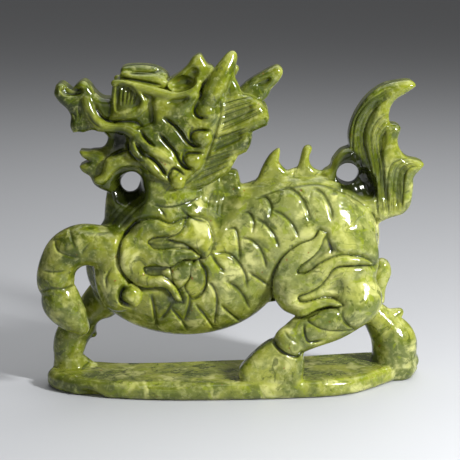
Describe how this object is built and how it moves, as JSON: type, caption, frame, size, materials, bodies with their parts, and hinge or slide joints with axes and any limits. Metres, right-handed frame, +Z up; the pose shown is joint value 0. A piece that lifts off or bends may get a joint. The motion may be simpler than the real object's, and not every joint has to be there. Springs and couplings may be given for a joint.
{
  "type": "jade figurine",
  "caption": "Carved green stone figurine of a striding qilin, a scaled hoofed beast with a dragon's head, on an oval plinth.",
  "frame": {"origin": "middle of the plinth's flat underside, on the surface that the figurine stands on", "axes": "+Z up; -X the way the animal looks; +X towards its tail; -Y its left side"},
  "size_m": [0.159, 0.052, 0.1408],
  "materials": {
    "jade": "polished"
  },
  "bodies": {
    "root": {"brow_horn": "jade", "front_back_fin": "jade", "left_ear": "jade", "left_elbow_curl": "jade", "left_eye": "jade", "left_fore_hoof": "jade", "left_foreleg": "jade", "left_haunch": "jade", "left_hind_hoof": "jade", "left_hind_shank": "jade", "left_hip_flame": "jade", "left_horn": "jade", "left_shoulder": "jade", "left_shoulder_flame": "jade", "left_whisker": "jade", "lower_jaw": "jade", "mane": "jade", "mane_crest": "jade", "neck": "jade", "neck_fin": "jade", "plinth": "jade", "rear_back_fin": "jade", "right_ear": "jade", "right_eye": "jade", "right_fore_hoof": "jade", "right_foreleg": "jade", "right_haunch": "jade", "right_hind_hoof": "jade", "right_hind_shank": "jade", "right_hip_flame": "jade", "right_hock_tuft": "jade", "right_horn": "jade", "right_shoulder": "jade", "right_shoulder_flame": "jade", "right_whisker": "jade", "skull": "jade", "snout": "jade", "tail": "jade", "throat_beard": "jade", "trunk": "jade"}
  },
  "joints": []
}
